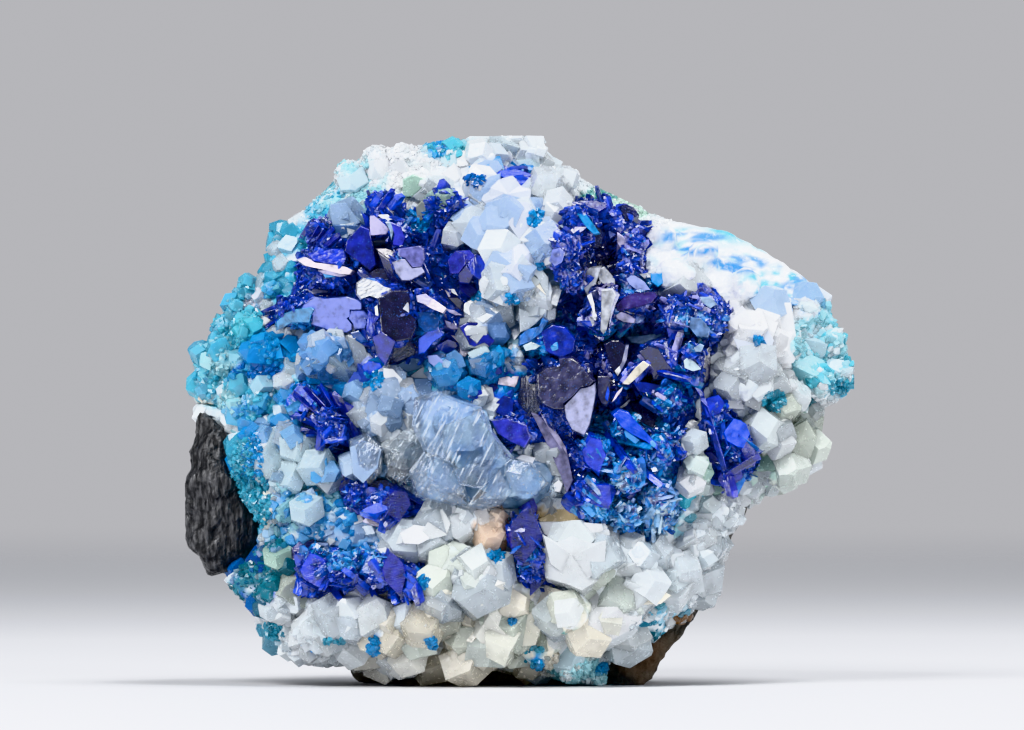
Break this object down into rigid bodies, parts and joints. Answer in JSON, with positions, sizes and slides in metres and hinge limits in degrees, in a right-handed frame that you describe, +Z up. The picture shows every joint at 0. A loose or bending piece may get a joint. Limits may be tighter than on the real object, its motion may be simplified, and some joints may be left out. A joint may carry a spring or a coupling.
{
  "type": "linarite mineral specimen",
  "caption": "Hand specimen of deep blue linarite crystals and turquoise druse on white quartz, with galena and dark host rock, standing on a flat foot.",
  "frame": {"origin": "middle of the flat foot of the host rock, on the surface that the specimen stands on", "axes": "+X along the crystal face to the viewer's right, +Z up, and the crystals face -Y"},
  "size_m": [0.0631, 0.0335, 0.0519],
  "materials": {
    "host_rock": "rough broken dark olive-grey rock",
    "milky_quartz": "milky quartz, glassy on crystal faces and sugary between them",
    "galena": "dull charcoal metallic galena with upright fibrous ridges",
    "turquoise_druse": "translucent turquoise and azure druse of small rounded crystals",
    "linarite": "deep azure blue crystals with bright glassy faces",
    "clear_quartz": "clear striated quartz crystals, see-through"
  },
  "bodies": {
    "root": {"host_rock": "host_rock", "quartz_matrix": "milky_quartz", "galena_lump": "galena", "turquoise_crust": "turquoise_druse", "linarite_upper_left": "linarite", "linarite_left_fan": "linarite", "linarite_lower_left": "linarite", "linarite_vug": "linarite", "linarite_right_lobe": "linarite", "linarite_lower_blade": "linarite", "linarite_top_tuft": "linarite", "clear_crystal": "clear_quartz"}
  },
  "joints": []
}
